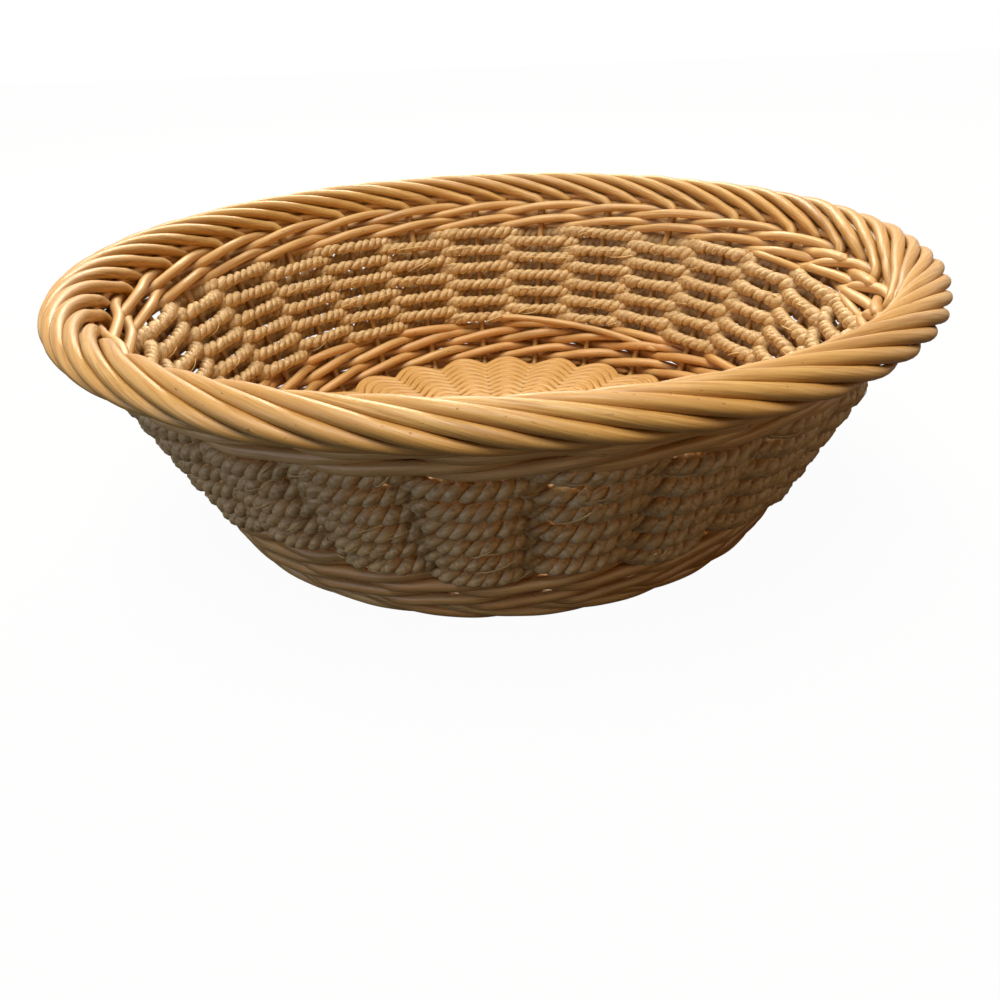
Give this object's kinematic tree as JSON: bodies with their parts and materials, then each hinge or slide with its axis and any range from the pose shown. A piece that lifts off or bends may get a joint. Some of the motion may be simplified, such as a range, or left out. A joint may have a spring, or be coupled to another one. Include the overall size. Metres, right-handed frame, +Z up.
{
  "type": "round wicker basket",
  "caption": "Round flared basket of willow rods and twisted grass rope, with a woven base, waled foot and top and a rolled border, for serving bread or fruit.",
  "frame": {"origin": "middle of the underside, on the surface that the basket stands on", "axes": "+Z up along the basket's axis, towards the border"},
  "size_m": [0.3484, 0.349, 0.1029],
  "materials": {
    "gold_willow": "satin honey-gold peeled willow with lengthwise streaks and small dark knots",
    "russet_willow": "satin orange-brown willow",
    "grass_rope": "matt fibrous two-ply grass rope, tan with pale fibres",
    "base_cane": "fine pale honey cane weave, satin"
  },
  "bodies": {
    "root": {"base_weave": "base_cane", "base_sticks": "base_cane", "foot_rod": "russet_willow", "lower_wale_rod_01": "russet_willow", "lower_wale_rod_02": "russet_willow", "lower_wale_rod_03": "russet_willow", "rope_weaver": "grass_rope", "upper_wale_rod_01": "gold_willow", "upper_wale_rod_02": "gold_willow", "upper_wale_rod_03": "gold_willow", "stake_01": "gold_willow", "stake_02": "gold_willow", "stake_03": "gold_willow", "stake_04": "gold_willow", "stake_05": "gold_willow", "stake_06": "gold_willow", "stake_07": "gold_willow", "stake_08": "gold_willow", "stake_09": "gold_willow", "stake_10": "gold_willow", "stake_11": "gold_willow", "stake_12": "gold_willow", "stake_13": "gold_willow", "stake_14": "gold_willow", "stake_15": "gold_willow", "stake_16": "gold_willow", "stake_17": "gold_willow", "stake_18": "gold_willow", "stake_19": "gold_willow", "stake_20": "gold_willow", "stake_21": "gold_willow", "stake_22": "gold_willow", "stake_23": "gold_willow", "stake_24": "gold_willow", "stake_25": "gold_willow", "border_rod_01": "gold_willow", "border_rod_02": "gold_willow", "border_rod_03": "gold_willow", "border_rod_04": "gold_willow", "border_rod_05": "gold_willow", "border_rod_06": "gold_willow", "border_rod_07": "gold_willow", "border_rod_08": "gold_willow", "border_rod_09": "gold_willow", "border_rod_10": "gold_willow", "border_rod_11": "gold_willow", "border_rod_12": "gold_willow", "border_rod_13": "gold_willow", "border_rod_14": "gold_willow", "border_rod_15": "gold_willow", "border_rod_16": "gold_willow", "border_rod_17": "gold_willow", "border_rod_18": "gold_willow", "border_rod_19": "gold_willow", "border_rod_20": "gold_willow", "border_rod_21": "gold_willow", "border_rod_22": "gold_willow", "border_rod_23": "gold_willow", "border_rod_24": "gold_willow", "border_rod_25": "gold_willow"}
  },
  "joints": []
}
